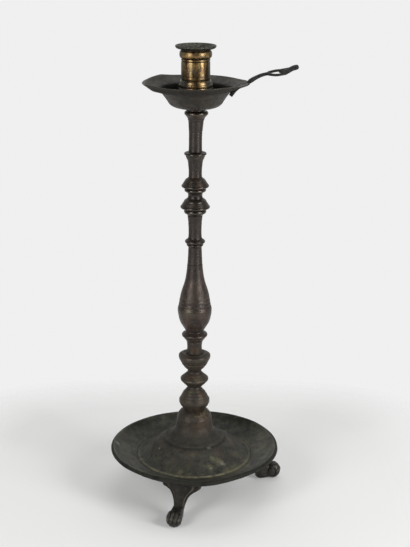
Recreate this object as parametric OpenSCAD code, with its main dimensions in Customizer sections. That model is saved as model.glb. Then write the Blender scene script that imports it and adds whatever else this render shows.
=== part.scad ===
// Turned bronze candlestick on three claw feet, with a handled drip pan that lifts off its stem.
// Millimetres. The origin is on the stem's axis at the floor, +Z is up and the handle points to +X.

/* [Base dish] */
// Outer radius of the dish at its rim
dish_r = 86; // [84:0.5:90]
// Height of the rim above the dish's flat underside
rim_h = 12; // [11:0.5:14]
// Radius of the ring that edges the raised centre
ring_r = 57.2; // [56:0.2:58]

/* [Feet] */
// Height of the dish's flat underside above the floor
foot_h = 38; // [34:0.5:44]
// Radius of the circle through the middle of the soles
foot_circle_r = 83; // [82:0.5:85]
// Turn of the right foot about the stem, counted from the handle
foot_turn = 17.7; // [0:0.1:40]
// Width of a paw
paw_w = 15.4; // [14:0.2:17]
// Radius of the foot rivets
foot_rivet_r = 2; // [1.5:0.1:2.5]

/* [Stem] */
// Height of the bell between the dish and the lower knop
bell_h = 31.2; // [30.8:0.2:36]
// Height of the baluster with the disc under it
baluster_h = 81.2; // [80:0.2:90]
// Height of the lower shaft with its ring
lower_shaft_h = 49.6; // [46:0.2:60]
// Height of the upper shaft from the double knop to the top of the capital
upper_shaft_h = 64.4; // [64:0.2:76]
// Radius of the iron rod that ties the stem together
rod_r = 3; // [2.6:0.1:3.2]
// Clearance round the rod in the stem's sections
rod_gap = 0.15; // [0.1:0.05:0.3]

/* [Drip pan] */
// Outer radius of the pan's brim
brim_r = 49.6; // [48:0.2:52]
// Height of the brim above the pan's underside
brim_h = 24.8; // [24:0.2:28]
// Wall thickness of the pan
pan_t = 1.6; // [1.2:0.1:2]
// Radius of the spigot that plugs the pan into the stem
spigot_r = 4; // [3.6:0.1:4.2]
// Length of the spigot inside the stem
spigot_l = 30; // [24:1:32]
// Radial clearance of the spigot in its holes
spigot_gap = 0.05; // [0.02:0.01:0.08]

/* [Candle socket] */
// Height of the socket's lip above the pan's underside
lip_h = 60.4; // [58:0.2:66]
// Radius of the hole for the candle
candle_r = 11; // [10.5:0.1:11.5]
// Depth of the hole for the candle
candle_l = 30; // [24:1:30]
// Outer radius of the socket's body
socket_r = 13.45; // [13:0.05:14]

/* [Handle] */
// Width of the handle's strap
strap_w = 7; // [5:0.5:9]
// Thickness of the handle
strap_t = 2.4; // [2:0.1:2.8]
// Outside width of the finger loop
loop_w = 25; // [24:0.5:27]

/* [Hidden] */
$fn = 96;

bronze = [0.27, 0.21, 0.16];
dish_green = [0.27, 0.27, 0.22];
old_brass = [0.62, 0.46, 0.20];
iron = [0.25, 0.24, 0.23];

// The stem's sections stand on each other, so each one's foot is at the last one's top
seat_h = 21.4;
lower_knop_h = 24.6;
middle_knop_h = 16.6;
cup_knop_h = 32.2;
double_knop_h = 38.2;
bell_z = foot_h + seat_h;
lower_knop_z = bell_z + bell_h;
middle_knop_z = lower_knop_z + lower_knop_h;
cup_knop_z = middle_knop_z + middle_knop_h;
baluster_z = cup_knop_z + cup_knop_h;
lower_shaft_z = baluster_z + baluster_h;
double_knop_z = lower_shaft_z + lower_shaft_h;
upper_shaft_z = double_knop_z + double_knop_h;
capital_z = upper_shaft_z + upper_shaft_h;

// The pan's boss sits just clear of the capital, and the pan on the boss
seat_gap = 0.3;
boss_h = 1.6;
boss_z = capital_z + seat_gap;
pan_z = boss_z + boss_h + seat_gap;

// A curve from a to c that heads for b on the way
function curve(a, b, c, n = 6) =
    [for (i = [0:n]) let (t = i / n) (1 - t) * (1 - t) * a + 2 * (1 - t) * t * b + t * t * c];

// A round bead on a turned profile: half an ellipse from height z0 to z1, d proud of radius r
function bead(r, z0, z1, d, n = 6) =
    [for (i = [0:n]) [r + d * sin(180 * i / n), (z0 + z1) / 2 - (z1 - z0) / 2 * cos(180 * i / n)]];

// The other half of an outline that is the same on both sides of the X axis
function mirrored(points) = [for (i = [len(points) - 1:-1:0]) [points[i][0], -points[i][1]]];

// A section that stands at height z, turned to a profile from its foot to its top and bored through
module turned(z, profile, bore = rod_r + rod_gap) {
    last = len(profile) - 1;
    translate([0, 0, z])
        rotate_extrude()
            polygon(concat([[bore, profile[0][1]]], profile, [[bore, profile[last][1]]]));
}

// Base dish, in heights over its flat underside: rim, sloping wall, trough, ring and raised centre
module base_dish() {
    rod_hole_r = rod_r + 0.5;
    trough_h = 1.8;
    flat_r = [49, 66];
    under_seat_h = seat_h - 2.8;
    hollow = concat(
        [[rod_hole_r, seat_h], [rod_hole_r, under_seat_h], [27, under_seat_h]],
        curve([29, 18], [40, 11], [flat_r[0], 0], 4)
    );
    wall_out = curve([flat_r[1], 0], [dish_r - 10, 1.8], [dish_r - 0.6, rim_h - 4.2], 8);
    rim = [[dish_r, rim_h - 3.2], [dish_r, rim_h - 1.2], [dish_r - 0.5, rim_h - 0.3], [dish_r - 1.3, rim_h]];
    wall_in = curve([dish_r - 2.2, rim_h - 0.4], [dish_r - 10, 4.2], [61, trough_h], 8);
    centre = concat(
        [[58.4, trough_h], [58, 2.6], [ring_r, 3.2], [56, 3.2]],
        curve([55.4, 3.6], [47, 8], [38.6, 16.4], 4),
        curve([37.8, 17.2], [34, 19.4], [31.2, seat_h - 0.6], 3),
        [[31.2, seat_h]]
    );
    color(dish_green)
        difference() {
            translate([0, 0, foot_h])
                rotate_extrude()
                    polygon(concat(hollow, wall_out, rim, wall_in, centre));
            foot_rivet_holes();
        }
}

// Feet: each is drawn along +X and turned to its place round the stem
foot_turns = [foot_turn, foot_turn + 120, foot_turn + 240];
rivet_at = 53;
rivet_in_leg = 7;

module at_feet(h) {
    for (a = foot_turns)
        rotate(a)
            translate([rivet_at, 0, foot_h - rivet_in_leg])
                cylinder(r = foot_rivet_r, h = h);
}

module foot_rivet_holes() {
    at_feet(30);
}

// A leg: its side outline and its front outline, each extruded, and what the two have in common
module leg() {
    wing_w = 39;
    wing_h = 6;
    sole_x = foot_circle_r - 8;
    paw_top = 15;
    inner = curve([45, foot_h], [58, foot_h - 13], [sole_x - 6, 7.6]);
    outer = curve([sole_x + 4, paw_top], [sole_x - 8, 18], [65.6, foot_h]);
    side = concat(inner, [[sole_x, 0], [sole_x + 8, 0], [sole_x + 8, 10]], outer);
    flank = curve([wing_h - foot_h, wing_w / 2], [-26, 8], [-14, 5]);
    half = concat([[-foot_h, wing_w / 2]], flank, [[-8, 5], [0, 5.8]]);
    intersection() {
        rotate([90, 0, 0])
            translate([0, 0, -wing_w / 2])
                linear_extrude(wing_w)
                    polygon(side);
        rotate([0, 90, 0])
            translate([0, 0, 40])
                linear_extrude(50)
                    polygon(concat(half, mirrored(half)));
    }
}

// A paw: four toes curled over a core, the outer pair shorter, on a heel under the leg
module paw() {
    ball_r = 8.7;
    toe_w = paw_w / 4;
    ball_x = foot_circle_r + 2;
    intersection() {
        union() {
            for (i = [0:3])
                let (side = i - 1.5, back = 1.6 * (abs(side) - 0.5), r = ball_r - 0.4 * back)
                    translate([ball_x - back, side * toe_w, r - 0.6])
                        rotate([90, 0, 0])
                            toe(r, toe_w);
            translate([foot_circle_r - 8, 1 - paw_w / 2, 0])
                cube([12, paw_w - 2, 9]);
        }
        translate([foot_circle_r - 8, -paw_w / 2, 0])
            cube([30, paw_w, 20]);
    }
}

// A toe: a round ridge bent into a ring, on a disc that fills the ring
module toe(r, w) {
    knuckle = w / 2 + 0.35;
    rotate_extrude()
        translate([r - knuckle, 0])
            circle(r = knuckle, $fn = 32);
    translate([0, 0, -w / 2])
        cylinder(r = r - 1.4, h = w);
}

module foot(a) {
    color(bronze)
        difference() {
            rotate(a)
                union() {
                    leg();
                    paw();
                }
            foot_rivet_holes();
        }
}

module right_foot() {
    foot(foot_turns[0]);
}

module left_foot() {
    foot(foot_turns[1]);
}

module front_foot() {
    foot(foot_turns[2]);
}

// Foot rivets, peened flush with the slope of the dish's centre
module foot_rivets() {
    color(bronze)
        at_feet(rivet_in_leg + 4.2);
}

// Base bell: a flared foot, a tall waist and a worn shoulder
module base_bell() {
    color(bronze)
        turned(bell_z, concat(
            [[31, 0], [31, 1.2]],
            curve([30.4, 2], [19.2, 5.6], [18.2, 16.6], 8),
            [[17.7, 22.6], [17.2, 24.8]],
            curve([16.8, 25.6], [15, 28.4], [12.2, 30.4], 3),
            [[11.2, bell_h]]
        ));
}

module lower_knop() {
    color(bronze)
        turned(lower_knop_z, concat(
            [[10.6, 0], [11.6, 1.4], [12.4, 2.8], [14.4, 4.8], [15, 6.4]],
            bead(15, 6.8, 11.6, 0.6, 4),
            [[13.8, 13.4], [13.6, 14.2], [12.2, 16.6], [11.6, 17.8], [9.8, 20], [8, 22]],
            [[7.2, 23.2], [7, lower_knop_h]]
        ));
}

module middle_knop() {
    color(bronze)
        turned(middle_knop_z, concat(
            [[6.9, 0], [7, 1], [8.4, 1.4], [9, 2.6], [9.6, 3], [13, 6.4]],
            bead(13.2, 6.6, 9.8, 0.8, 4),
            [[11.4, 11.6], [9.2, 13.6], [7.6, 15], [7, middle_knop_h]]
        ));
}

// Cup knop: grooves under a band, a stepped top and a waisted neck
module cup_knop() {
    groove = 0.5;
    color(bronze)
        turned(cup_knop_z, concat(
            [[6.9, 0], [7, 1.6], [9.2, 4.2], [9.9, 5.2]],
            [[10.9 - groove, 6.4], [11.4, 7.1], [12.6, 9]],
            [[12.8 - groove, 9.6], [13.2, 10.4], [13.9, 12.2]],
            [[14.2 - groove, 12.8], [14.9, 13.6], [15.9, 15], [15.9, 17.6]],
            [[15.2, 18.2], [12.4, 19.2], [10.8, 19.4], [10.2, 20.6], [8.8, 21.1]],
            curve([8, 22.2], [6.4, 26.2], [7.8, 30.8], 5),
            [[8.1, cup_knop_h]]
        ));
}

// Baluster: a collar and a disc, then a pear-shaped bulb drawn up into a long neck
module baluster() {
    color(bronze)
        turned(baluster_z, concat(
            [[7.8, 0]],
            bead(8.6, 0.4, 3.4, 0.9, 4),
            [[10.6, 4.2]],
            bead(11.2, 4.8, 9, 1.6, 4),
            [[9, 9.6], [8.8, 11.6], [9.4, 13.2], [13.2, 19.6]],
            curve([14, 21], [16.6, 27], [16.9, 32], 4),
            [[17, 32.2], [17, 35.6], [16.6, 36.4], [16.6, 37.2], [16, 38.8]],
            curve([15.9, 39.6], [14.4, 51], [11.2, 59.4], 6),
            curve([11.2, 59.4], [8.8, 66.4], [8, 76], 6),
            [[7.6, baluster_h - 0.8], [7.2, baluster_h]]
        ));
}

// Lower shaft: a plain neck, a ring with a collar under it, and a thin shaft
module lower_shaft() {
    color(bronze)
        turned(lower_shaft_z, concat(
            [[7.1, 0], [7.1, 4.8], [6.6, 17.2]],
            bead(7, 18.6, 21.2, 1.3, 4),
            bead(8.6, 21.6, 24.8, 1.4, 4),
            [[7.4, 25.8], [6.6, 27.4], [6.35, 31.8], [6.4, 37.8], [6.9, 45.2], [7.5, lower_shaft_h]]
        ));
}

// Double knop: two beads, each between smaller ones, with a waist between
module double_knop() {
    color(bronze)
        turned(double_knop_z, concat(
            [[7.2, 0], [8, 1.2]],
            bead(9.4, 1.8, 5.8, 1.5, 4),
            bead(11, 6.4, 12.2, 3.5, 6),
            bead(9.4, 12.6, 15.8, 1.4, 4),
            curve([8, 16.8], [5.8, 20.2], [8, 23.2], 4),
            bead(9, 24, 27, 1.5, 4),
            bead(10.4, 27.4, 33.2, 3, 6),
            [[9.8, 33.6], [9.8, 35.6], [8.4, 36.6], [6.8, double_knop_h]]
        ));
}

// Upper shaft: a flat-topped ring, a thin shaft and the capital, bored for the rod and the spigot
rod_in_upper_shaft = 23;

module upper_shaft() {
    h = upper_shaft_h;
    spigot_room = 2;
    color(bronze)
        difference() {
            turned(upper_shaft_z, concat(
                [[6.6, 0], [6.4, 3], [6.4, 7], [7.1, 14.6], [7.6, 17]],
                [[8.4, 18.2], [8.6, 19.4], [10.4, 21.8], [10.8, 22.8]],
                [[10.6, 23.8], [9.8, 24.4], [7.2, 24.8]],
                curve([6.5, 26], [6.1, 33], [6.6, 45], 4),
                [[7.4, h - 9], [8, h - 8], [8.1, h - 6.8]],
                curve([8.8, h - 5], [9.4, h - 3.4], [11.2, h - 2.6], 3),
                [[11.5, h - 1.8], [11.3, h - 0.8], [10.5, h]]
            ), 0);
            translate([0, 0, upper_shaft_z - 1])
                cylinder(r = rod_r, h = rod_in_upper_shaft + 1);
            translate([0, 0, boss_z - spigot_l - spigot_room])
                cylinder(r = spigot_r + spigot_gap, h = spigot_l + spigot_room + 5);
        }
}

// Iron tie rod, screwed into the upper shaft and drawn up by a nut and washer under the dish
washer_t = 1.4;
nut_h = 5;
washer_z = bell_z - 2.8 - washer_t;
nut_z = washer_z - nut_h;

module ring(z, r, bore, h, sides) {
    translate([0, 0, z])
        difference() {
            cylinder(r = r, h = h, $fn = sides);
            translate([0, 0, -1])
                cylinder(r = bore, h = h + 2);
        }
}

module tie_rod() {
    below_nut = 2.6;
    from = nut_z - below_nut;
    color(iron)
        translate([0, 0, from])
            cylinder(r = rod_r, h = upper_shaft_z + rod_in_upper_shaft - from);
}

module rod_washer() {
    color(iron)
        ring(washer_z, 9, rod_r + rod_gap, washer_t, $fn);
}

module rod_nut() {
    color(iron)
        ring(nut_z, 5.8, rod_r, nut_h, 6);
}

// Spigot: a plug for the stem, a boss over the capital, and a riveted head inside the pan
module pan_spigot() {
    boss_r = 9;
    head_z = spigot_l + boss_h + 2 * seat_gap + pan_t;
    color(bronze)
        translate([0, 0, boss_z - spigot_l])
            rotate_extrude()
                polygon([
                    [0, 0], [spigot_r - 0.8, 0], [spigot_r, 1], [spigot_r, spigot_l],
                    [boss_r - 0.6, spigot_l], [boss_r, spigot_l + 0.6], [boss_r, spigot_l + boss_h],
                    [spigot_r, spigot_l + boss_h], [spigot_r, head_z], [7, head_z],
                    [6.4, head_z + 1.2], [4, head_z + 2], [0, head_z + 2.2]
                ]);
}

// Drip pan, in heights over its underside: a round-bottomed bowl with a wide sloping brim
pan_bore = spigot_r + spigot_gap;
skirt_seat_h = pan_t + 1.6;
pan_outside = concat(
    [[pan_bore, 0], [11, 0], [12, 0.5]],
    curve([15.5, 0.9], [24.6, 1.6], [26.4, 7], 6),
    [[28.9, 10.8], [33, 16.4], [33.8, 17.3]],
    curve([34.4, 17.7], [42, 20], [brim_r - 0.4, brim_h - 1.2], 4)
);
pan_inside = concat(
    [[brim_r, brim_h - 0.4], [brim_r - 0.6, brim_h]],
    curve([brim_r - 1.6, brim_h], [42, 21.8], [34, 19.6], 4),
    [[31.6, 17.8], [26.8, 10.8]],
    curve([26, 9.6], [23.6, skirt_seat_h + 0.4], [17.4, skirt_seat_h], 6),
    [[14, skirt_seat_h], [12, pan_t], [pan_bore, pan_t]]
);

module pan() {
    color(bronze)
        difference() {
            translate([0, 0, pan_z])
                rotate_extrude()
                    polygon(concat(pan_outside, pan_inside));
            handle_rivet_holes();
        }
}

// The room that the pan and what stands in it take up, which the handle keeps out of
module pan_room() {
    top = [[brim_r, brim_h - 0.4], [brim_r, brim_h + 4], [0, brim_h + 4], [0, 0]];
    translate([0, 0, pan_z])
        rotate_extrude()
            polygon(concat(pan_outside, top));
}

// Socket skirt: a flared collar that stands on the pan's floor and holds the socket
socket_foot_h = 12.4;

module socket_skirt() {
    s = skirt_seat_h;
    inner_r = 14.2;
    color(dish_green)
        translate([0, 0, pan_z])
            rotate_extrude()
                polygon(concat(
                    [[inner_r, s + 0.3], [15, s], [17.4, s], [20.6, s + 1], [20.6, s + 2]],
                    curve([19.8, s + 2.4], [18, 14.4], [17.6, 19.4], 5),
                    [[17.4, 20.8], [16.4, 21.6], [16.2, 23.6], [15.2, 24.4], [14.8, 26.4], [14.2, 27.8]],
                    [[socket_r, 27.8], [socket_r, socket_foot_h], [inner_r, socket_foot_h - 1]]
                ));
}

// Candle socket, in heights under its lip: a straight body with a bead, and a flared lip
module socket() {
    lip_r = 19.6;
    floor_t = 2.4;
    body_l = lip_h - socket_foot_h;
    hollow_l = body_l - candle_l - floor_t;
    color(old_brass)
        translate([0, 0, pan_z + lip_h])
            difference() {
                rotate_extrude()
                    polygon(concat(
                        [[0, -body_l], [socket_r, -body_l], [socket_r, -16.4]],
                        [[13.1, -15.8], [13.1, -14.6], [13.7, -14]],
                        bead(13.7, -12.6, -7, 1.4, 6),
                        [[13.6, -5.6], [14.2, -4.2]],
                        curve([14.6, -3.8], [18.6, -3.4], [lip_r, -1.6], 3),
                        [[lip_r, -1], [18.2, -0.2], [17, 0], [0, 0]]
                    ));
                translate([0, 0, -candle_l])
                    cylinder(r = candle_r, h = candle_l + 1);
                translate([0, 0, -body_l - 1])
                    cylinder(r = candle_r, h = hollow_l + 1);
            }
}

// Handle, in distances from the stem and heights over the pan's underside
loop_x = 79.5;
loop_in_w = loop_w - 6.2;
tail_line = curve([34.8, 11.8], [37.6, 17], [43.4, 19.2], 3);
strap_line = curve([46.4, 20.8], [53, 27], [62, 30.4], 5);
loop_line = curve([64.5, 31.3], [77, 32.4], [84.5, 34.4], 4);
thumb_line = curve([86.5, 35.2], [92, 38.2], [101, 39.4], 4);

// The handle seen from the side: a bent strip of the handle's thickness
module side_strip() {
    line = concat(tail_line, strap_line, loop_line, thumb_line);
    last = len(line) - 1;
    raised = [for (i = [last:-1:0]) line[i] + strap_t * [-0.5, 0.9]];
    rotate([90, 0, 0])
        translate([0, 0, -loop_w])
            linear_extrude(2 * loop_w)
                polygon(concat(line, raised));
}

// The strap and the ring of the finger loop, seen from above
module strap_and_ring() {
    linear_extrude(60)
        difference() {
            union() {
                translate([30, -strap_w / 2])
                    square([42, strap_w]);
                translate([loop_x, 0])
                    circle(d = loop_w);
            }
            translate([loop_x - 0.5, 0])
                circle(d = loop_in_w);
        }
}

// The thumb rest, seen from above: a cusp that points into the loop, two shoulders and a round tip
module leaf() {
    cusp = [[80.6, 0], [82.4, 3]];
    shoulder = curve([83, 8], [87.6, 10.4], [91, 7.4], 3);
    edge = curve([92, 6.2], [93.6, 4.6], [96, 5.2], 3);
    tip = [[96.6, 4.2], [97.5, 1.6]];
    half = concat(shoulder, edge, tip);
    linear_extrude(60)
        polygon(concat(cusp, half, mirrored(half), [[cusp[1][0], -cusp[1][1]]]));
}

module handle() {
    color(bronze)
        difference() {
            translate([0, 0, pan_z])
                intersection() {
                    side_strip();
                    union() {
                        strap_and_ring();
                        leaf();
                    }
                }
            pan_room();
            handle_rivet_holes();
        }
}

// Handle rivets, through the strap and the brim: place along the handle, foot and head of each
handle_rivet_r = 1.4;
handle_rivet_places = [[39.4, 15.6, 21.8], [45.6, 19.2, 24]];

module handle_rivet_holes() {
    for (p = handle_rivet_places)
        translate([p[0], 0, pan_z + p[1] - 3])
            cylinder(r = handle_rivet_r, h = 14);
}

module handle_rivets() {
    head_r = 2.4;
    head_t = 0.8;
    color(bronze)
        for (p = handle_rivet_places)
            translate([p[0], 0, pan_z])
                union() {
                    translate([0, 0, p[1]])
                        cylinder(r = handle_rivet_r, h = p[2] - p[1]);
                    translate([0, 0, p[2]])
                        cylinder(r = head_r, h = head_t);
                }
}

base_dish();
right_foot();
left_foot();
front_foot();
foot_rivets();
base_bell();
lower_knop();
middle_knop();
cup_knop();
baluster();
lower_shaft();
double_knop();
upper_shaft();
tie_rod();
rod_washer();
rod_nut();
pan_spigot();
pan();
socket_skirt();
socket();
handle();
handle_rivets();
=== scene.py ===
"""An old turned bronze candlestick on claw feet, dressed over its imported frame.

Profiles and places are in millimetres and MM brings them to metres. The stem's axis is Z, the floor is
z = 0, the handle points to +X and the photograph's camera looks along +Y.
"""

import bpy
import numpy as np
from mathutils import Matrix, Vector

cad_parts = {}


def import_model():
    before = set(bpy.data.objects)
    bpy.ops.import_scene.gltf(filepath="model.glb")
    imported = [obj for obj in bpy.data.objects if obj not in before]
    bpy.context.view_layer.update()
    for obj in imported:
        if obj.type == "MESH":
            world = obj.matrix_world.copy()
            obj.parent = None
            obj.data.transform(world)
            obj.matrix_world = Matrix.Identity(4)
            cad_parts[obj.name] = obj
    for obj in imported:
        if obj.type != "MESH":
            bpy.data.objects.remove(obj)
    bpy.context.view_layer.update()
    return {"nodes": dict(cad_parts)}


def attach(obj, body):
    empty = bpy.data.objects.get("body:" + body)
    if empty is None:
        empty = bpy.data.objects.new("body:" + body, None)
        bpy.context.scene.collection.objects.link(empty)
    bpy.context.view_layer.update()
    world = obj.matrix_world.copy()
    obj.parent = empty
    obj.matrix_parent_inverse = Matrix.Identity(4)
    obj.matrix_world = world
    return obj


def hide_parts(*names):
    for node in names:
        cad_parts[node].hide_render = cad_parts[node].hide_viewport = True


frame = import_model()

MM = 0.001


# Lines and profiles

def curve(a, b, c, n=12):
    """A curve from a to c that heads for b on the way: (1 - t)^2 a + 2 (1 - t) t b + t^2 c."""
    t = np.linspace(0, 1, n + 1)[:, None]
    a, b, c = (np.asarray(p, float) for p in (a, b, c))
    return (1 - t) ** 2 * a + 2 * (1 - t) * t * b + t ** 2 * c


def bead(r, z0, z1, proud, n=12):
    """Half an ellipse from height z0 to z1 that stands proud of radius r: a round bead on a profile."""
    a = np.linspace(0, np.pi, n + 1)
    return np.stack([r + proud * np.sin(a), (z0 + z1) / 2 - (z1 - z0) / 2 * np.cos(a)], 1)


def line(*parts):
    """One line through all the parts, each a point or a run of points."""
    return np.concatenate([np.atleast_2d(np.asarray(p, float)) for p in parts])


def bell_mean(points, step, width):
    """Each point as the mean of its neighbours under a bell curve width wide. The ends stay in place."""
    reach = int(np.ceil(3 * width / step))
    weight = np.exp(-0.5 * (np.arange(-reach, reach + 1) * step / width) ** 2)
    weight /= weight.sum()
    before = 2 * points[0] - points[reach:0:-1]
    after = 2 * points[-1] - points[-2:-reach - 2:-1]
    wide = np.concatenate([before, points, after])
    return np.stack([np.convolve(wide[:, k], weight, "valid") for k in range(points.shape[1])], 1)


def evened(points, step):
    """Points at even steps along a line."""
    run = np.concatenate([[0], np.cumsum(np.linalg.norm(np.diff(points, axis=0), axis=1))])
    at = np.linspace(0, run[-1], max(int(run[-1] / step), 12) + 1)
    return np.stack([np.interp(at, run, points[:, k]) for k in range(points.shape[1])], 1)


def softened(points, step=0.4, width=0.3):
    """A line at even steps with its corners rounded, as use and cleaning round them."""
    return bell_mean(evened(points, step), step, width)


def proud_of(profile, step, reach=1.2):
    """How far each point of a profile stands out from the mean of its neighbourhood, in mm: above 0 on an
    edge and below 0 in a groove. The profile runs upwards on its outer side."""
    way = np.gradient(profile, axis=0)
    way /= np.linalg.norm(way, axis=1, keepdims=True) + 1e-9
    out = np.stack([way[:, 1], -way[:, 0]], 1)
    return ((profile - bell_mean(profile, step, reach)) * out).sum(1)


def waves(points, size, seed):
    """Slow unevenness through space, about -1 to 1: the mean of six sines, each along its own direction."""
    rng = np.random.default_rng(seed)
    ways = rng.normal(size=(6, 3))
    ways *= (rng.uniform(0.7, 1.5, 6) * 2 * np.pi / size / np.linalg.norm(ways, axis=1))[:, None]
    return np.sin(points @ ways.T + rng.uniform(0, 2 * np.pi, 6)).mean(-1) * 1.6


# Meshes

def shell(grid, ends):
    """Corners and faces of a grid of points, rows by columns, whose columns close round. With ends "ring"
    the last row joins the first, and with "poles" each end row is drawn together to one point."""
    rows, columns = grid.shape[:2]
    index = np.arange(rows * columns).reshape(rows, columns)
    beside = np.roll(index, -1, axis=1)
    above = np.roll(index, -1, axis=0)
    above_beside = np.roll(above, -1, axis=1)
    quads = np.stack([index, beside, above_beside, above], -1)
    if ends == "ring":
        return grid.reshape(-1, 3), quads.reshape(-1, 4), np.zeros((0, 3), int)
    inner = quads[:-1].reshape(-1, 4)
    corners = np.concatenate([grid.reshape(-1, 3), [grid[0].mean(0)], [grid[-1].mean(0)]])
    low, high = rows * columns, rows * columns + 1
    bottom = np.stack([beside[0], index[0], np.full(columns, low)], -1)
    top = np.stack([index[-1], beside[-1], np.full(columns, high)], -1)
    return corners, inner, np.concatenate([bottom, top])


def facing_out(corners, quads, tris):
    """Turns a closed shell's faces outwards where its signed volume is below 0."""
    halves = np.concatenate([quads[:, [0, 1, 2]], quads[:, [0, 2, 3]], tris])
    a, b, c = (corners[halves[:, k]] for k in range(3))
    if np.einsum("ij,ij->", a, np.cross(b, c)) < 0:
        return quads[:, ::-1], tris[:, ::-1]
    return quads, tris


def piece(name, shells, body, nodes, material, edges=None):
    """One object from closed shells in millimetres, riding on a body and standing for CAD nodes. The
    materials read two numbers of each point: edge, from -1 in a groove to 1 on a worn edge, and level, from
    -1 where the surface faces down to 1 where it faces up."""
    corners, quads, tris, worn, count = [], [], [], [], 0
    for k, (grid, ends) in enumerate(shells):
        points, four, three = shell(grid, ends)
        four, three = facing_out(points, four, three)
        value = np.zeros(len(points))
        if edges is not None and edges[k] is not None:
            value[:edges[k].size] = edges[k].ravel()
        corners.append(points)
        quads.append(four + count)
        tris.append(three + count)
        worn.append(value)
        count += len(points)
    corners = np.concatenate(corners) * MM
    quads = np.concatenate(quads)
    tris = np.concatenate(tris)
    mesh = bpy.data.meshes.new(name)
    mesh.vertices.add(len(corners))
    mesh.vertices.foreach_set("co", corners.astype(np.float32).ravel())
    mesh.loops.add(quads.size + tris.size)
    mesh.loops.foreach_set("vertex_index", np.concatenate([quads.ravel(), tris.ravel()]).astype(np.int32))
    mesh.polygons.add(len(quads) + len(tris))
    starts = np.concatenate([np.arange(len(quads)) * 4, quads.size + np.arange(len(tris)) * 3])
    mesh.polygons.foreach_set("loop_start", starts.astype(np.int32))
    mesh.update(calc_edges=True)
    mesh.shade_smooth()
    facing = np.empty(len(corners) * 3, np.float32)
    mesh.vertex_normals.foreach_get("vector", facing)
    for key, values in (("edge", np.concatenate(worn).astype(np.float32)), ("level", facing[2::3].copy())):
        mesh.attributes.new(key, "FLOAT", "POINT").data.foreach_set("value", values)
    mesh.materials.append(material)
    made = bpy.data.objects.new(name, mesh)
    bpy.context.scene.collection.objects.link(made)
    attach(made, body)
    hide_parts(*nodes)
    return made


def turn(profile, around):
    """A profile of (radius, height) turned about the stem: x = r cos a, y = r sin a, z = height."""
    a = np.linspace(0, 2 * np.pi, around, endpoint=False)
    r, z = profile[:, :1], profile[:, 1:]
    return np.stack([r * np.cos(a), r * np.sin(a), z + 0 * a], -1)


def uneven(grid, amount, size, seed):
    """The grid with each point moved in or out from the axis by slow waves, amount mm at most."""
    shift = amount * waves(grid, size, seed)
    radius = np.linalg.norm(grid[..., :2], axis=-1) + 1e-9
    out = grid.copy()
    out[..., 0] *= 1 + shift / radius
    out[..., 1] *= 1 + shift / radius
    return out


def turned_piece(name, profile, body, material, around=144, step=0.4, amount=0.06, seed=1, warp=None):
    """A closed profile turned on the lathe, a little uneven, its edges marked for wear and painted highlight
    and its grooves for dirt.
    """
    soft = softened(np.concatenate([profile, profile[:1]]), step)[:-1]
    grid = uneven(turn(soft, around), amount, 26, seed)
    if warp is not None:
        grid = warp(grid)
    edge = np.clip(proud_of(soft, step) / 0.22, -1, 1)
    edges = np.repeat(edge[:, None], around, axis=1)
    return piece("turned_" + name, [(grid, "ring")], body, [name], material, [edges])


# Paint

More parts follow.
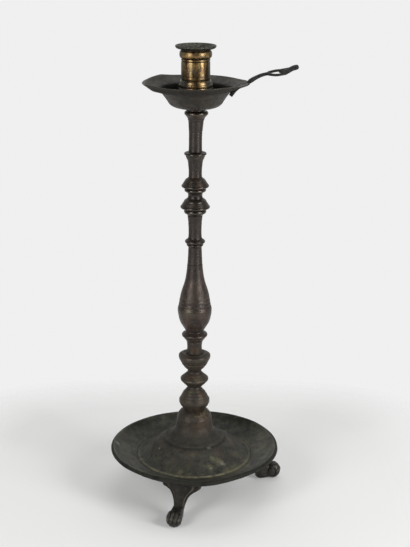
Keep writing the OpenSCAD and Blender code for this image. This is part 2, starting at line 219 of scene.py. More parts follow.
class Paint:
    """A material being made. Each call adds a node, with its settings and what its inputs are joined to."""

    def __init__(self, name):
        self.material = bpy.data.materials.new(name)
        self.material.use_nodes = True
        self.tree = self.material.node_tree
        self.tree.nodes.clear()
        self.place = self.node("ShaderNodeTexCoord").outputs["Object"]

    def node(self, kind, inputs=None, **settings):
        made = self.tree.nodes.new(kind)
        for key, value in settings.items():
            setattr(made, key, value)
        for key, value in (inputs or {}).items():
            if isinstance(value, bpy.types.NodeSocket):
                self.tree.links.new(value, made.inputs[key])
            else:
                made.inputs[key].default_value = value
        return made

    def noise(self, size, detail=4.0, rough=0.55, place=None, twist=0.0):
        """Noise whose blotches are about size mm across, from 0 to 1."""
        return self.node("ShaderNodeTexNoise", {
            "Vector": place or self.place, "Scale": 1 / (size * MM), "Detail": detail,
            "Roughness": rough, "Distortion": twist}).outputs[0]

    def squeezed(self, x, y, z):
        """Places scaled apart along the three axes, so that noise read there turns into streaks."""
        return self.node("ShaderNodeMapping", {"Vector": self.place, "Scale": (x, y, z)}).outputs[0]

    def span(self, value, low, high, to_low=0.0, to_high=1.0):
        """A value spread from low..high to to_low..to_high and held there."""
        return self.node("ShaderNodeMapRange", {
            "Value": value, "From Min": low, "From Max": high,
            "To Min": to_low, "To Max": to_high}).outputs[0]

    def sum(self, operation, a, b=0.0, c=0.0):
        return self.node("ShaderNodeMath", {0: a, 1: b, 2: c}, operation=operation).outputs[0]

    def both(self, *shares):
        """All the shares multiplied together."""
        product = shares[0]
        for share in shares[1:]:
            product = self.sum("MULTIPLY", product, share)
        return product

    def mix(self, share, a, b):
        """Colour a where share is 0 and colour b where it is 1."""
        colours = {6: a, 7: b}
        for key, value in colours.items():
            if not isinstance(value, bpy.types.NodeSocket):
                colours[key] = (*value, 1.0)
        return self.node("ShaderNodeMix", {0: share, **colours}, data_type="RGBA").outputs[2]

    def number(self, name):
        """One of the numbers that each point of a piece carries, edge or level."""
        return self.node("ShaderNodeAttribute", attribute_name=name).outputs["Fac"]

    def height(self):
        """Height over the floor, in metres."""
        return self.node("ShaderNodeSeparateXYZ", {0: self.place}).outputs[2]

    def radius(self):
        """Distance from the stem's axis, in metres."""
        flat = self.node("ShaderNodeVectorMath", {0: self.place, 1: (1, 1, 0)}, operation="MULTIPLY")
        return self.node("ShaderNodeVectorMath", {0: flat.outputs[0]}, operation="LENGTH").outputs["Value"]

    def side(self, x, y):
        """How far each place lies round towards the direction (x, y) from the axis: the cosine, -1 to 1."""
        toward = self.node("ShaderNodeVectorMath", {0: self.place, 1: (x, y, 0)}, operation="DOT_PRODUCT")
        return self.sum("DIVIDE", toward.outputs["Value"], self.radius())

    def spot(self, x, y, z, size, ragged=0.35):
        """A ragged spot round a place in mm: 1 at its middle and 0 from size mm away."""
        middle = (x * MM, y * MM, z * MM)
        gap = self.node("ShaderNodeVectorMath", {0: self.place, 1: middle}, operation="DISTANCE")
        about_zero = self.sum("SUBTRACT", self.noise(size * 0.45, 3), 0.5)
        rough = self.both(about_zero, size * MM * ragged * 4)
        return self.span(self.sum("ADD", gap.outputs["Value"], rough), size * MM, size * MM * 0.35)

    def finish(self, colour, roughness, height, depth, metal, gloss=0.5):
        """The metal's shader: colour, roughness, and a bump of depth mm from height."""
        bump = self.node("ShaderNodeBump", {"Strength": 1.0, "Distance": depth * MM, "Height": height})
        shader = self.node("ShaderNodeBsdfPrincipled", {
            "Base Color": colour, "Roughness": roughness, "Metallic": metal, "Specular IOR Level": gloss,
            "Normal": bump.outputs[0]})
        out = self.node("ShaderNodeOutputMaterial", {"Surface": shader.outputs[0]})
        out.location = (600, 0)
        return self.material


def patina(name, dark, warm, pale, metal=0.5, rough=(0.28, 0.5), gloss=0.5, lines=0.5, pitted=0.6, bloom=0.4,
           wear_and_glint=0.3, add=None):
    """Old bronze: dark and warm blotches with soot and a pale bloom in specks, dirt in the grooves and
    rubbed edges made pale, which is wear and partly a painted highlight, over fine turning lines and casting
    pits. add lays more on the colour and says where it is matt."""
    p = Paint(name)
    colour = p.mix(p.span(p.noise(14, 5, 0.62, twist=0.6), 0.36, 0.62), dark, warm)
    soot = p.span(p.noise(5, 6, 0.72, twist=0.3), 0.5, 0.36)
    colour = p.mix(p.sum("MULTIPLY", soot, 0.7), colour, tuple(0.4 * c for c in dark))
    specks = p.span(p.noise(2.6, 6, 0.72), 0.52, 0.72)
    colour = p.mix(p.sum("MULTIPLY", specks, bloom), colour, pale)
    matt = None
    if add is not None:
        colour, matt = add(p, colour)
    edge = p.number("edge")
    # Pale rubbed edges: wear, and partly a painted highlight on edges and knuckles.
    nicked_and_glint = p.sum("MULTIPLY", p.span(edge, 0.15, 0.9), p.span(p.noise(8, 3), 0.32, 0.58))
    colour = p.mix(p.sum("MULTIPLY", nicked_and_glint, wear_and_glint), colour, pale)
    dirt = p.span(edge, -0.12, -0.9)
    colour = p.mix(p.sum("MULTIPLY", dirt, 0.6), colour, tuple(0.35 * c for c in dark))
    turning = p.noise(0.9, 3, 0.6, p.squeezed(0.04, 0.04, 1.0))
    pits = p.span(p.noise(1.6, 5, 0.75), 0.35, 0.6)
    height = p.sum("ADD", p.sum("MULTIPLY", turning, lines), p.sum("MULTIPLY", pits, pitted))
    worn = p.sum("SUBTRACT", p.noise(6, 6, 0.7), p.sum("MULTIPLY", nicked_and_glint, 0.3))
    roughness = p.span(worn, 0.34, 0.66, rough[0], rough[1])
    if matt is not None:
        roughness = p.sum("MULTIPLY_ADD", matt, 0.4, roughness)
        metal = p.span(matt, 0.0, 1.0, metal, 0.0)
        gloss = p.span(matt, 0.0, 1.0, gloss, 0.04)
    metal = p.sum("MINIMUM", p.sum("MULTIPLY_ADD", nicked_and_glint, wear_and_glint, metal), 1.0)
    return p.finish(colour, roughness, height, 0.14, metal, gloss)


def stem_colours(p, colour):
    """Reddish patches and rust spots, a matt olive bloom on the lower knops, and darker colour on the slim
    shafts and in the waists."""
    red = p.span(p.noise(16, 5, 0.65, p.squeezed(1, 1, 0.6), twist=0.5), 0.52, 0.66)
    colour = p.mix(p.both(red, 0.5), colour, (0.09, 0.048, 0.036))
    low = p.span(p.height(), 0.176, 0.155)
    colour = p.mix(p.both(low, p.span(p.noise(9, 6, 0.7), 0.4, 0.64), 0.5), colour, (0.075, 0.064, 0.038))
    for x, y, z, size, share, stain in STEM_STAINS:
        colour = p.mix(p.both(p.spot(x, y, z, size, 0.5), share), colour, stain)
    slim = p.span(p.sum("ADD", p.radius(), p.both(p.noise(8, 4), 0.0016)), 0.0105, 0.0078)
    return p.mix(p.both(slim, 0.65), colour, (0.0185, 0.0135, 0.011)), p.both(low, 0.4)


def deposits(p, colour):
    """A warm raised centre with painted shade along the bell's foot, painted light on the walls at both
    sides, most at the right, deposits along the ring with a painted highlight on its front edge, stains and
    pale spots, painted shade in the trough behind, and painted shade on the matt underside and outer face."""
    centre = p.both(p.span(p.radius(), 0.05, 0.036), p.span(p.noise(12, 4), 0.4, 0.65))
    colour = p.mix(p.both(centre, 0.6), colour, (0.062, 0.043, 0.031))
    # Painted light: the walls at both sides are made paler, the right one most.
    sides = p.span(p.sum("ABSOLUTE", p.side(1, 0.12)), 0.6, 0.95)
    wall = p.both(sides, p.span(p.radius(), 0.06, 0.072), p.span(p.noise(14, 5, 0.65), 0.3, 0.6))
    colour = p.mix(p.both(wall, p.span(p.side(1, 0), -0.5, 0.5, 0.36, 0.85)), colour, (0.105, 0.102, 0.08))
    # Painted shade in the trough behind the bell.
    behind = p.both(p.span(p.side(0.1, 1), 0.3, 0.75), p.span(p.radius(), 0.052, 0.06))
    colour = p.mix(p.both(behind, p.span(p.noise(15, 4), 0.3, 0.55), 0.8), colour, (0.0115, 0.012, 0.009))
    # Painted shade where the bell's foot meets the dish.
    colour = p.mix(p.span(p.radius(), 0.0345, 0.0318, 0.0, 0.6), colour, (0.012, 0.0115, 0.009))
    blotched = p.both(p.span(p.noise(7, 6, 0.75, twist=0.4), 0.5, 0.66), p.span(p.radius(), 0.04, 0.048))
    colour = p.mix(p.both(blotched, 0.35), colour, OLIVE)
    ring = p.both(p.span(p.radius(), 0.054, 0.057), p.span(p.radius(), 0.063, 0.0584))
    patchy = p.span(p.noise(9, 6, 0.75), 0.4, 0.66)
    near = p.span(p.side(0.86, -0.5), -0.6, 0.9, 0.5, 1.0)
    colour = p.mix(p.both(ring, patchy, near, 0.8), colour, OLIVE)
    # A painted highlight along the ring's edge, strongest at the front and broken into patches.
    line = p.both(p.span(p.radius(), 0.0562, 0.0574), p.span(p.radius(), 0.0594, 0.058))
    front = p.span(p.side(0.12, -1), 0.3, 0.98, 0.25, 1.0)
    glint_patches = p.span(p.noise(6, 5, 0.7), 0.4, 0.6)
    colour = p.mix(p.both(line, front, glint_patches, 0.9), colour, (0.23, 0.215, 0.13))
    for x, y, z, size, share, stain in DISH_STAINS:
        colour = p.mix(p.both(p.spot(x, y, z, size, 0.5), share), colour, stain)
    # Painted shade on surfaces that face down and on the rim's outer face, which are also matt.
    outside = p.sum("MAXIMUM", p.span(p.number("level"), 0.3, -0.1), p.span(p.radius(), 0.083, 0.0841))
    colour = p.mix(p.both(outside, 0.9), colour, (0.0075, 0.007, 0.0055))
    return colour, p.sum("MAXIMUM", p.both(outside, 0.7), p.span(p.radius(), 0.05, 0.042, 0.0, 0.45))


def leg_colours(p, colour):
    """Legs as they are, but matt, where the paws below them are polished by use."""
    return colour, p.span(p.height(), 0.014, 0.021, 0.0, 0.5)


def bell_colours(p, colour):
    """A bell as green and dark as the dish at its foot, warm above, with bare metal at the shoulder."""
    low = p.span(p.sum("ADD", p.height(), p.both(p.noise(7, 5, 0.7), 0.012)), 0.0785, 0.067)
    colour = p.mix(p.both(low, 0.85), colour, p.mix(p.span(p.noise(9, 5), 0.35, 0.65), DARK_GREEN, GREEN))
    band = p.both(p.span(p.height(), 0.066, 0.076), p.span(p.height(), 0.088, 0.08))
    warm = p.both(p.span(p.side(0.4, -0.9), 0.5, 1.0), p.span(p.noise(8, 4), 0.35, 0.65), band)
    colour = p.mix(p.both(warm, 0.6), colour, (0.085, 0.055, 0.036))
    bare = p.both(p.spot(8, -10, 88.4, 8.5, 0.8), p.span(p.noise(2.5, 5, 0.7), 0.4, 0.6))
    return p.mix(p.both(bare, 0.7), colour, (0.15, 0.105, 0.045)), p.both(low, 0.55)


def pan_colours(p, colour):
    """Matt near-black deep in the pan's bowl, soot and painted shade, a paler brim rubbed at its left, and
    painted shade under the brim.
    """
    inside = p.span(p.number("level"), -0.05, 0.2)
    # Near-black deep in the bowl: soot and painted shade.
    soot_and_shade_edge = p.sum("ADD", p.radius(), p.both(p.noise(5, 4), 0.003))
    deep = p.both(inside, p.span(soot_and_shade_edge, 0.0385, 0.0345))
    colour = p.mix(p.both(deep, 0.93), colour, (0.004, 0.004, 0.0035))
    brim = p.both(inside, p.span(p.radius(), 0.037, 0.042), p.span(p.noise(10, 5), 0.3, 0.6))
    colour = p.mix(p.both(brim, 0.4), colour, (0.08, 0.077, 0.056))
    colour = p.mix(p.both(inside, p.spot(-39, -9, PAN_Z + 22, 10, 0.7), 0.6), colour, (0.15, 0.125, 0.07))
    # Painted shade on the pan's outside, under the brim.
    under = p.both(p.sum("SUBTRACT", 1.0, inside), p.span(p.radius(), 0.0335, 0.037))
    colour = p.mix(p.both(under, 0.8), colour, (0.0145, 0.012, 0.009))
    return colour, p.sum("MAXIMUM", p.both(deep, 0.95), p.both(under, 0.7))


def worn_brass(name, golden_reach, lip_z=0.4555):
    """Brass that is golden at the front and the back as far as golden_reach, with brown streaks and dark
    flecks, grey-green at the sides and round the lip, and near-black inside the mouth: dirt and painted
    shade."""
    p = Paint(name)
    streak = p.noise(6, 5, 0.68, p.squeezed(1, 1, 0.3), twist=0.5)
    colour = p.mix(p.span(streak, 0.42, 0.6), (0.3, 0.197, 0.078), (0.07, 0.041, 0.023))
    fleck = p.span(p.noise(2.2, 6, 0.74), 0.54, 0.68)
    colour = p.mix(p.both(fleck, 0.6), colour, (0.05, 0.036, 0.024))
    tarnish = p.span(p.noise(9, 5, 0.7, twist=0.6), 0.5, 0.64)
    colour = p.mix(p.both(tarnish, 0.5), colour, (0.072, 0.07, 0.058))
    green = p.mix(p.span(p.noise(4, 5, 0.7), 0.35, 0.65), (0.05, 0.053, 0.043), (0.105, 0.108, 0.088))
    turned_away = p.sum("ADD", p.sum("ABSOLUTE", p.side(0, -1)), p.both(p.noise(8, 5, 0.7), 0.3))
    colour = p.mix(p.both(p.span(turned_away, golden_reach + 0.3, golden_reach + 0.05), 0.9), colour, green)
    ragged = p.sum("ADD", p.height(), p.both(p.noise(5, 4), 0.003))
    lip = p.span(ragged, lip_z, lip_z + 0.002)
    corrosion = p.span(p.noise(2.4, 6, 0.75), 0.42, 0.58)
    corroded = p.mix(corrosion, (0.022, 0.0225, 0.0175), (0.11, 0.105, 0.083))
    colour = p.mix(lip, colour, corroded)
    # Near-black inside the mouth of the bore: dirt and painted shade.
    colour = p.mix(p.both(lip, p.span(p.radius(), 0.0125, 0.0112)), colour, (0.008, 0.0075, 0.006))
    colour = p.mix(p.both(p.span(p.number("edge"), -0.15, -0.9), 0.85), colour, (0.03, 0.022, 0.015))
    turning = p.noise(0.8, 3, 0.6, p.squeezed(0.04, 0.04, 1.0))
    height = p.sum("ADD", p.both(turning, 0.4), p.both(p.noise(1.4, 5, 0.7), 0.5))
    dull = p.sum("ADD", p.noise(4, 5, 0.6), p.both(lip, 0.3))
    return p.finish(colour, p.span(dull, 0.3, 0.8, 0.2, 0.5), height, 0.08, 0.85)


def rusty_iron(name):
    p = Paint(name)
    colour = p.mix(p.span(p.noise(4, 6, 0.7), 0.4, 0.62), (0.035, 0.03, 0.028), (0.11, 0.048, 0.024))
    return p.finish(colour, p.span(p.noise(3, 5), 0.3, 0.7, 0.55, 0.9), p.noise(1.2, 6, 0.75), 0.15, 0.3)


PAN_Z = 399.6
DARK_GREEN = (0.024, 0.0245, 0.02)
GREEN = (0.05, 0.049, 0.039)
OLIVE = (0.135, 0.125, 0.068)
OCHRE = (0.12, 0.088, 0.042)
CHALK = (0.24, 0.235, 0.19)
RUST = (0.1, 0.052, 0.024)

# The dish's stains and spots as (x, y, z, size, share, colour)
DISH_STAINS = (
    (18.5, -37.5, 51.5, 4, 0.6, OLIVE), (25, -38, 48.5, 5, 0.65, OLIVE), (28.5, -38.5, 46, 3.5, 0.5, CHALK),
    (16, -45, 46, 4.5, 0.5, OLIVE), (17, -46.5, 45, 2, 0.5, CHALK), (-13.5, -51.5, 42.6, 4, 0.6, OLIVE),
    (33.5, -45, 41.4, 6, 0.55, OLIVE), (44, -42, 39.8, 5, 0.4, OLIVE), (53, -30, 39.8, 6, 0.5, OLIVE),
    (47.5, -19, 43.8, 2, 0.7, OCHRE), (42, -20.5, 47, 5, 0.35, OLIVE), (55, 24, 39.8, 6, 0.35, OLIVE),
    (39.5, 40.5, 41.3, 7, 0.4, OCHRE), (49, 34, 39.8, 6, 0.35, OLIVE),
    (37.5, -2.5, 55, 7, 0.45, (0.09, 0.058, 0.036)), (-55, -18, 40.6, 4, 0.5, OLIVE),
    (53.7, -20.5, 40.5, 5, 0.6, OLIVE), (40.5, -38, 41.5, 6, 0.45, OLIVE), (50, 24, 41.5, 8, 0.5, OLIVE),
    (73, 8.7, 42, 7, 0.4, OLIVE), (-57, -7, 40.8, 4, 0.4, OLIVE), (-1, -37.5, 55.2, 3, 0.35, OLIVE),
    (-79.8, 6.5, 47.8, 3.5, 0.7, CHALK),
    (-35.5, -18, 53.3, 1.3, 0.7, CHALK), (14.5, -27.5, 59.2, 3, 0.4, CHALK))

# The stem's stains, given in the same way
STEM_STAINS = (
    (0, -7, 156, 6, 0.6, RUST), (0, -9, 334.5, 4.5, 0.6, RUST), (9, -10, 110, 6, 0.4, RUST),
    (-6, -13, 199, 7, 0.3, OLIVE), (3, -12, 126, 5, 0.35, OLIVE), (-5, -9, 112, 4, 0.4, OLIVE))

stem_paint = patina("stem bronze", (0.027, 0.0205, 0.0165), (0.06, 0.041, 0.032), (0.094, 0.081, 0.07),
                    rough=(0.25, 0.5), lines=0.8, pitted=0.4, wear_and_glint=0.3, add=stem_colours)
knop_paint = patina("knop bronze", (0.026, 0.021, 0.0165), (0.053, 0.04, 0.03), (0.1, 0.094, 0.08),
                    rough=(0.24, 0.48), lines=0.6, pitted=0.2, wear_and_glint=0.4, add=stem_colours)
bell_paint = patina("bell bronze", (0.025, 0.0205, 0.0155), (0.046, 0.035, 0.024), (0.095, 0.086, 0.064),
                    rough=(0.38, 0.62), wear_and_glint=0.1, add=bell_colours)
dish_paint = patina("dish bronze", DARK_GREEN, GREEN, (0.115, 0.113, 0.09),
                    rough=(0.34, 0.58), lines=0.25, bloom=0.4, wear_and_glint=0.1, add=deposits)
foot_paint = patina("foot bronze", (0.0105, 0.0092, 0.007), (0.025, 0.0215, 0.0155), (0.16, 0.145, 0.11),
                    metal=0.35, rough=(0.28, 0.52), lines=0.0, bloom=0.12, wear_and_glint=0.7, add=leg_colours)
pan_paint = patina("pan bronze", (0.0205, 0.0175, 0.0135), (0.0405, 0.034, 0.026), (0.088, 0.083, 0.066),
                   rough=(0.36, 0.6), lines=1.3, wear_and_glint=0.2, add=pan_colours)
handle_paint = patina("handle bronze", (0.016, 0.0155, 0.0145), (0.028, 0.027, 0.025), (0.062, 0.061, 0.056),
                      metal=0.3, rough=(0.5, 0.72), gloss=0.2, lines=0.0)
socket_paint = worn_brass("socket brass", golden_reach=0.45)
skirt_paint = worn_brass("skirt brass", golden_reach=0.8)
iron_paint = rusty_iron("rusty iron")


# Stem: each section's foot height, its outline upwards from there, and fine grooves as (height, depth)

BORE_R = 3.15


def section(foot, outline, grooves=(), bore=BORE_R):
    """A stem section's closed profile: its outline with fine grooves cut in, closed along the bore."""
    outer = evened(outline, 0.3)
    for z, depth in grooves:
        outer[:, 0] -= depth * np.exp(-0.5 * ((outer[:, 1] - z) / 0.36) ** 2)
    low, high = outer[0, 1], outer[-1, 1]
    inner = evened(np.array([[bore, high], [bore, low]]), 2.0)
    return np.concatenate([outer, inner]) + [0, foot]


SECTIONS = {
    "base_bell": section(59.4, line(
        [31, 0], [30.9, 0.5], curve([30, 1.3], [19.2, 5.4], [18.2, 16.6]), [17.7, 22.6], [17.2, 24.8],
        curve([16.8, 25.6], [15, 28.4], [12.2, 30.4]), [11.2, 31.2]),
        [(27.4, 0.25), (26, 0.2), (24.2, 0.3), (2.6, 0.2)]),
    "lower_knop": section(90.6, line(
        [10.6, 0], [11.6, 1.4], [12.4, 2.8], [14.4, 4.8], [15, 6.4], bead(15, 6.8, 11.6, 0.6),
        [13.8, 13.4], [13.6, 14.2], [12.2, 16.6], [11.6, 17.8], [9.8, 20], [8, 22], [7.2, 23.2], [7, 24.6]),
        [(5.6, 0.25), (9.2, 0.2), (11.7, 0.35), (13.7, 0.3), (16.8, 0.3), (20, 0.35)]),
    "middle_knop": section(115.2, line(
        [6.9, 0], [7, 1], [8.9, 1.4], [9.7, 2.6], [10.3, 3], [13.4, 6.3], bead(13.4, 6.6, 9.8, 0.8),
        [11.4, 11.6], [9.2, 13.6], [7.6, 15], [7, 16.6]),
        [(4.8, 0.15), (12.4, 0.2)]),
    "cup_knop": section(131.8, line(
        [6.9, 0], [7, 1.6], [9.8, 4.2], [10.7, 5.2], [11.3, 6.4], [12.1, 7.1], [13.3, 9], [13, 9.6],
        [13.9, 10.4], [14.6, 12.2], [14.7, 12.8], [15.6, 13.6], [16.1, 15], [16, 17.6], [15.3, 18.2],
        [13, 18.9], [12.5, 19.1], [12.2, 19.7], [11.4, 20], [10.2, 19.8], [9.2, 19.5], [8.4, 20.2],
        curve([7.8, 21.6], [6.9, 26.2], [7.8, 30.8]), [8.1, 32.2]),
        [(9.8, 0.3), (14.6, 0.3)]),
    "baluster": section(164, line(
        [8.2, 0], curve([8.5, 1], [9.5, 2.4], [10.9, 3.9]), [11.1, 4.8], bead(11.2, 5.1, 8.9, 1.7),
        [10.4, 9.6], [9.2, 10.4], [8.9, 11.6],
        [9.9, 13.2], [13.8, 19.6], curve([14.5, 21], [16.7, 27], [16.9, 32]), [17, 32.2], [17, 35.6],
        [16.6, 36.4], [16.6, 37.2], [16, 38.8], curve([15.9, 39.6], [14.4, 51], [11.2, 59.4]),
        curve([11.2, 59.4], [8.8, 66.4], [8, 76]), [7.7, 80.6], [7.5, 81.2]),
        [(4.5, 0.35), (27.2, 0.2), (38.4, 0.3), (42.2, 0.3), (46.3, 0.25), (76.6, 0.25), (78.8, 0.25)]),
    "lower_shaft": section(245.2, line(
        [7.4, 0], [7.1, 4.8], [6.6, 17.2], bead(7, 18.6, 21.2, 1.3), bead(8.6, 21.6, 24.8, 1.4),
        [7.4, 25.8], [6.6, 27.4], [6.35, 31.8], [6.4, 37.8], [6.9, 45.2], [7.5, 49.6]),
        [(43.1, 0.2), (8, 0.15), (11, 0.1)]),
    "double_knop": section(294.8, line(
        [7.2, 0], [8, 1.2], bead(9.4, 2.2, 6.2, 1.5), [10.4, 6.5], [13.4, 7.4], bead(13.8, 7.7, 9.7, 0.7),
        [11.4, 13.6], [10.9, 14], [10.9, 15], [9.4, 16.2], curve([8, 17], [5.8, 20.2], [8, 23.2]),
        bead(9.2, 24, 27.2, 1.4), [10, 27.5], [12.6, 28.4], bead(12.8, 28.7, 30.7, 0.7), [10.4, 34.6],
        [9.9, 35], [9.8, 35.8], [8.4, 36.7], [6.8, 38.2]),
        [(6.6, 0.3), (27.6, 0.3)]),
    "upper_shaft": section(333, line(
        [6.6, 0], [6.4, 3], [6.4, 7], [7.1, 14.6], [7.6, 17], [8.4, 18.4], [9, 20], [9.8, 21.6],
        bead(10, 22, 24.3, 0.9), [7.2, 24.8], curve([6.5, 26], [6.1, 33], [6.6, 45]),
        [7.4, 55.4], [8, 56.4], [8.1, 57.6], curve([8.6, 58.4], [9.8, 60.2], [11.2, 61.4]),
        [11.5, 62.6], [11.3, 63.6], [10.5, 64.4]),
        [(21.6, 0.4), (39.4, 0.2), (41.8, 0.25), (44.2, 0.25)], bore=4.05),
}

def off_centre(grid):
    """The grid's outer surface leaned to +X above z = 372, by 0.7 mm at the capital, as the shaft was turned
    out of true: the bore stays where it is."""
    radius = np.hypot(grid[..., 0], grid[..., 1])
    out = grid.copy()
    out[..., 0] += 0.7 * np.clip((grid[..., 2] - 372) / 22, 0, 1) * np.clip((radius - 4.3) / 1.5, 0, 1)
    return out


PAINTS = {"base_bell": bell_paint, "baluster": stem_paint, "lower_shaft": stem_paint}
for number, (name, profile) in enumerate(SECTIONS.items()):
    paint = PAINTS.get(name, knop_paint)
    turned_piece(name, profile, "stand", paint, seed=20 + number,
                 warp=off_centre if name == "upper_shaft" else None)


# Base dish, in heights over its flat underside at DISH_Z

DISH_Z = 38
dish_profile = line(
    [3.5, 21.4], [3.5, 18.6], [27, 18.6], curve([29, 18], [40, 11], [49, 0]),
    curve([71, 0], [77, 3], [85.6, 9.2]), [86, 9.6], [86, 10], curve([85.8, 11], [85, 12.3], [83.6, 12.7]),
    [82.8, 12.6], curve([81.6, 11.5], [75.4, 4.2], [61, 1.8]), [59.2, 1.8],
    curve([58.8, 1.9], [57.9, 3.2], [56.4, 3.1]), curve([55.4, 3.5], [47, 8], [38.6, 16.4]),
    curve([37.8, 17.2], [34, 19.4], [31.2, 20.8]), [31.2, 21.4]) + [0, DISH_Z]
# Rounds of (angle about the stem, mm): how far the rim is out of round, and how far it is bent up
RIM_SPREADS = line([0, 0.2], [20, 0.6], [45, 0.8], [70, 0.4], [90, 0], [115, -0.3], [140, -0.3],
                   [165, -0.1], [200, -0.2], [225, -0.6], [245, -0.5], [262, 0], [280, 0.2], [300, 0.4],
                   [320, 0.6], [340, 0.4], [360, 0.2])
RIM_RISES = line([0, 0.2], [45, 0.5], [90, 0], [135, -0.4], [180, 0], [215, -0.2], [230, 0], [245, 0.3],
                 [255, 0], [266, -1.3], [276, -2.1], [285, -1.6], [293, -0.4], [302, 0.5], [320, 0.5],
                 [360, 0.2])


def bent_rim(grid):
    """The rim out of round: each point is spread and raised by the two rounds at its angle, the more so
    towards the rim."""
    angle = np.degrees(np.arctan2(grid[..., 1], grid[..., 0])) % 360
    radius = np.hypot(grid[..., 0], grid[..., 1])
    spread, rise = (np.interp(angle, *table.T) for table in (RIM_SPREADS, RIM_RISES))
    share = np.clip((radius - 62) / 24, 0, 1) ** 1.3
    out = grid.copy()
    out[..., :2] *= (1 + spread * share / np.maximum(radius, 1))[..., None]
    out[..., 2] += rise * share
    return out


turned_piece("base_dish", dish_profile, "stand", dish_paint,
             around=240, step=0.6, amount=0.12, seed=40, warp=bent_rim)


# Feet, drawn along +X as (out, across, up) and turned to their places. Cast by hand, they differ a little:
# each has its turn about the stem, and how much further out and how far aside its paw stands

FEET = {"right_foot": (17.7, 2.2, 0), "left_foot": (137.7, 0.3, 0.4), "front_foot": (258.2, -0.1, -1.9)}
INNER_EDGE = curve([45, 38], [57, 24], [66.5, 5], 40)
OUTER_EDGE = curve([79, 15], [67, 18], [65.6, 38], 40)
# Half widths against height. Seen from outside, each foot's right wing hangs lower than its left one
LEFT_FLANK = line([19.4, 38.2], [19.4, 34.2], [18.8, 33.2], [16, 31.9], [12.6, 30], [10.6, 27.8], [9, 25.2],
                  [7.7, 22], [6.3, 18.5], [5.3, 15], [5, 12], [5.4, 6])
RIGHT_FLANK = line([20.4, 38.2], [20.4, 32.6], [19.6, 31.4], [17.4, 29.8], [13.6, 27.6], [10.4, 25.2],
                   [8.1, 22], [6.4, 18.5], [5.3, 15], [4.9, 12.5], [4.3, 10], [4, 6])
TOE_WIDTH = 3.9


def oblong(angle, fullness):
    """A sine or cosine made fuller: the same sign, with its size raised to a power below 1."""
    return np.sign(angle) * np.abs(angle) ** fullness


def leg():
    """A leg as level slices from the paw up to the dish. Each slice is a rounded oblong between the inner
    and the outer edge line, as wide as the flank lines, with reeds that fan out along its front."""
    z = np.linspace(4, 38, 80)[:, None]
    a = np.linspace(0, 2 * np.pi, 112, endpoint=False)[None, :]
    inner = np.interp(z, INNER_EDGE[::-1, 1], INNER_EDGE[::-1, 0])
    outer = np.interp(z, OUTER_EDGE[:, 1], OUTER_EDGE[:, 0])
    left, right = (softened(edge, 0.4, 0.8)[::-1] for edge in (LEFT_FLANK, RIGHT_FLANK))
    fullness = np.interp(z, [14, 32], [0.7, 0.36])
    across = oblong(np.sin(a), fullness)
    along = oblong(np.cos(a), fullness)
    half = np.where(across > 0, np.interp(z, right[:, 1], right[:, 0]), np.interp(z, left[:, 1], left[:, 0]))
    u = (inner + outer) / 2 + (outer - inner) / 2 * along
    reeded = np.clip((np.abs(across) - 0.3) * 3, 0, 1) * np.clip((z - 14) / 8, 0, 1) * np.clip(along, 0, 1)
    reeds = np.cos(2 * np.pi * 3.2 * np.abs(across)) * reeded
    u = u + 0.55 * reeds - 0.6 * np.clip(along, 0, 1) * reeded
    grid = np.stack([u, half * across, z + 0 * a], -1)
    return grid, np.clip(0.8 * reeds + 0.3 * (np.abs(across) > 0.93) * (along > 0), -1, 1)


def toes():
    """Four toes curled into a ball: a ball whose poles lie to its sides, pressed in along three grooves that
    run over its front, with two rows of knuckles and a round crease on each side. Returns the grid and its
    edge values."""
    b = np.linspace(-np.pi / 2, np.pi / 2, 74)[1:-1, None]
    a = np.linspace(0, 2 * np.pi, 96, endpoint=False)[None, :]
    v = 7.7 * np.sin(b)
    curled = np.clip(0.55 + 0.9 * np.cos(a - np.radians(25)), 0, 1)
    place = np.abs(v - 1.4 * np.sin(a))
    groove = np.exp(-(np.minimum(place, np.abs(place - TOE_WIDTH)) / 0.5) ** 2) * curled
    rows = [np.exp(-((a - np.radians(middle)) / 0.24) ** 2) for middle in (62, 12)]
    knuckle = (rows[0] + rows[1]) * (1 - groove)
    r = np.cos(b) ** 0.72 * (1 - 0.12 * groove + 0.035 * knuckle)
    from_heel = np.hypot(r * np.cos(a) + 0.5, r * np.sin(a))
    crease = np.exp(-((from_heel - 0.62) / 0.08) ** 2) * np.clip((np.abs(v) - 2.5) / 2, 0, 1)
    pressed = v * (1 - 0.14 * crease)
    grid = np.stack([85.4 + 8.3 * r * np.cos(a), pressed, 8.6 + 8.7 * r * np.sin(a)], -1)
    # The knuckle rows carry edge values that the paint makes pale: polish and a painted highlight on the
    # knuckles.
    return grid, np.clip(0.5 * rows[0] + rows[1] - 1.5 * groove - 1.4 * crease, -1, 1)


def cushion(middle, half, fullness=0.6):
    """A closed oblong with rounded sides: a sphere's grid whose sines and cosines are made fuller."""
    b = np.linspace(-np.pi / 2, np.pi / 2, 26)[1:-1, None]
    a = np.linspace(0, 2 * np.pi, 40, endpoint=False)[None, :]
    level = oblong(np.cos(b), fullness)
    ball = np.stack([level * oblong(np.cos(a), fullness), level * oblong(np.sin(a), fullness),
                     oblong(np.sin(b), fullness) + 0 * a], -1)
    grid = np.asarray(middle, float) + ball * np.asarray(half, float)
    grid[..., 2] = np.maximum(grid[..., 2], 0)
    return grid


